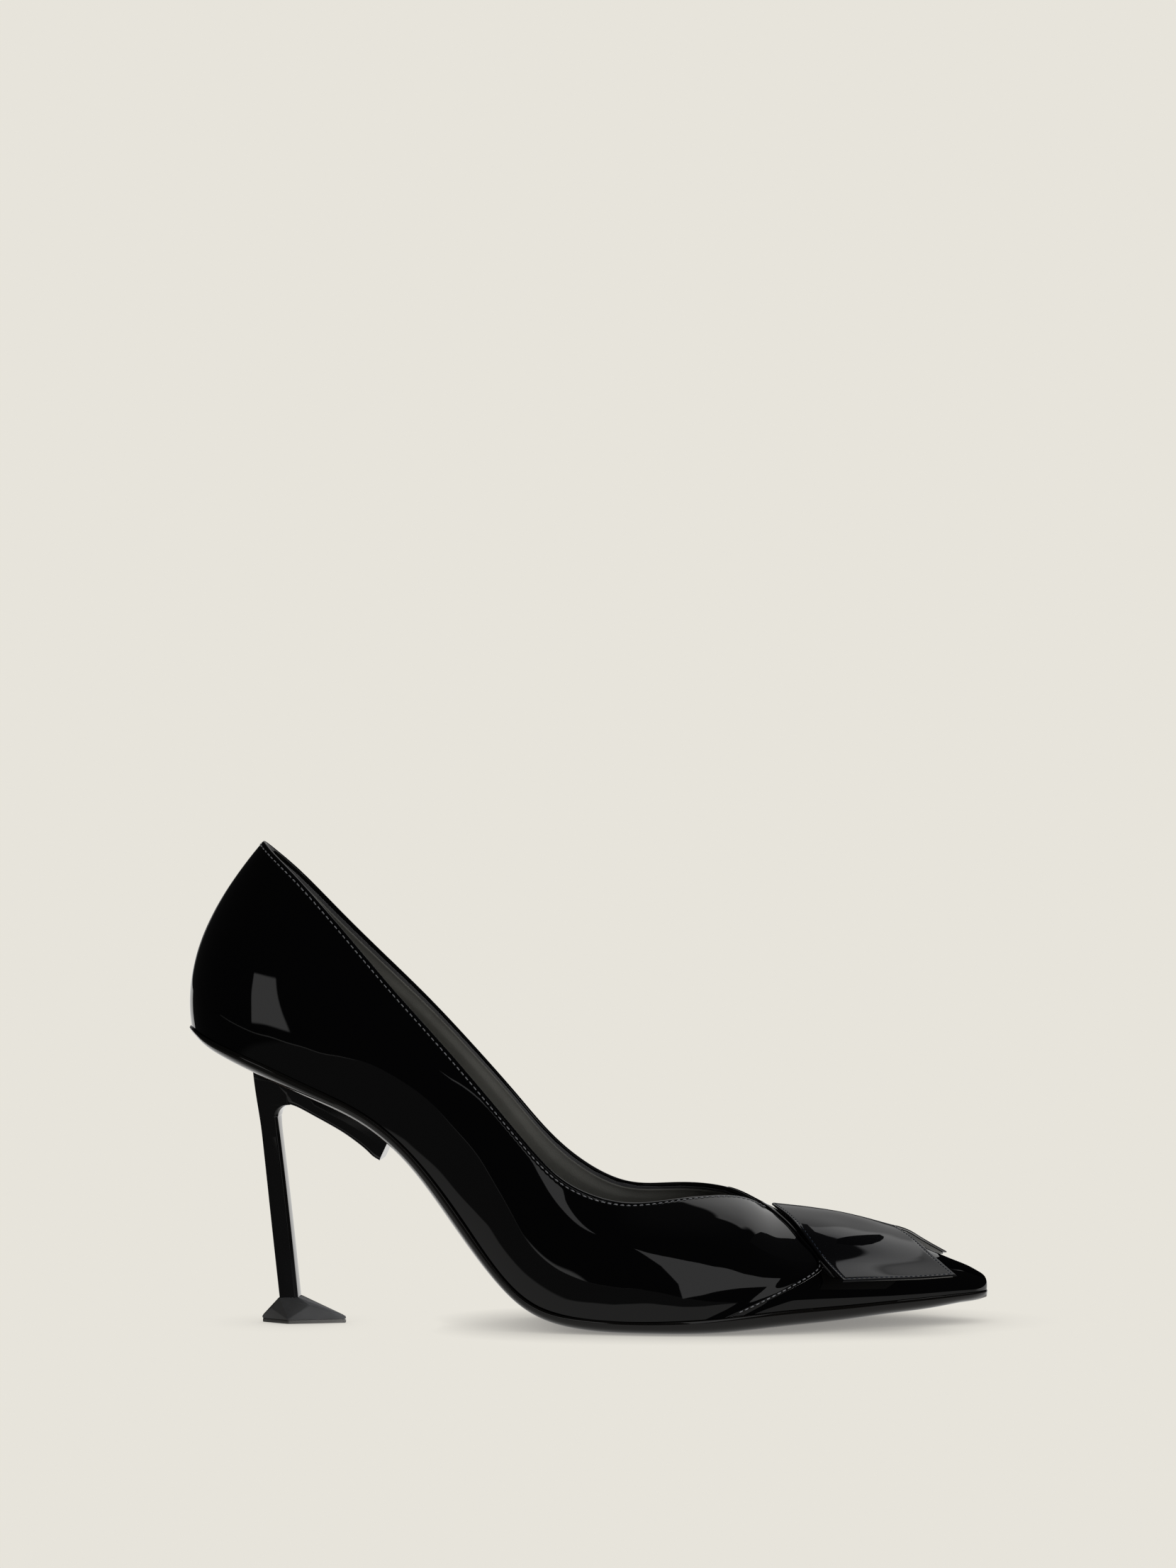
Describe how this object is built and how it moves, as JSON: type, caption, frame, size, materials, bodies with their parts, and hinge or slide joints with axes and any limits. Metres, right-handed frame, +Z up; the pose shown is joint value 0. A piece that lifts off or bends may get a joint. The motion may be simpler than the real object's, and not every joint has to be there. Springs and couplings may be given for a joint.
{
  "type": "high heel pump",
  "caption": "Pointed high heel pump in patent leather with a folded band across the vamp, a slim blade heel and a faceted heel foot.",
  "frame": {"origin": "middle of the bounding box in plan, at floor level", "axes": "+X from heel to toe, +Z up, lateral side of this right shoe at -Y"},
  "size_m": [0.2372, 0.0724, 0.1434],
  "materials": {
    "patent": "high gloss patent coating",
    "lining": "matte",
    "stiffener": "pressed fibre",
    "interlining": "bonded cloth",
    "tape": "woven tape",
    "board": "cellulose board",
    "foam": "soft foam",
    "sock": "matte",
    "filler": "cork granulate",
    "steel": "plain",
    "rivet": "plain",
    "sole": "glossy edge dressing and lacquered underside",
    "heel_lacquer": "high gloss lacquer",
    "foot_metal": "matte fine grain",
    "pad_rubber": "matte"
  },
  "bodies": {
    "root": {"vamp": "patent", "quarter_lateral": "patent", "quarter_medial": "patent", "throat_strap": "patent", "vamp_lining": "lining", "quarter_lining": "lining", "toe_puff": "stiffener", "heel_counter": "stiffener", "interlining_lateral": "interlining", "interlining_medial": "interlining", "topline_tape": "tape", "bow_band_outer": "patent", "bow_band_lining": "lining", "insole_board": "board", "sock_foam": "foam", "sock_lining": "sock", "bottom_filler": "filler", "steel_shank": "steel", "shank_rivets": "rivet", "outsole": "sole", "heel_casting": "heel_lacquer", "heel_foot": "foot_metal", "top_lift_pad": "pad_rubber", "lift_dowel": "steel", "heel_screw": "steel", "heel_nails": "steel"}
  },
  "joints": []
}
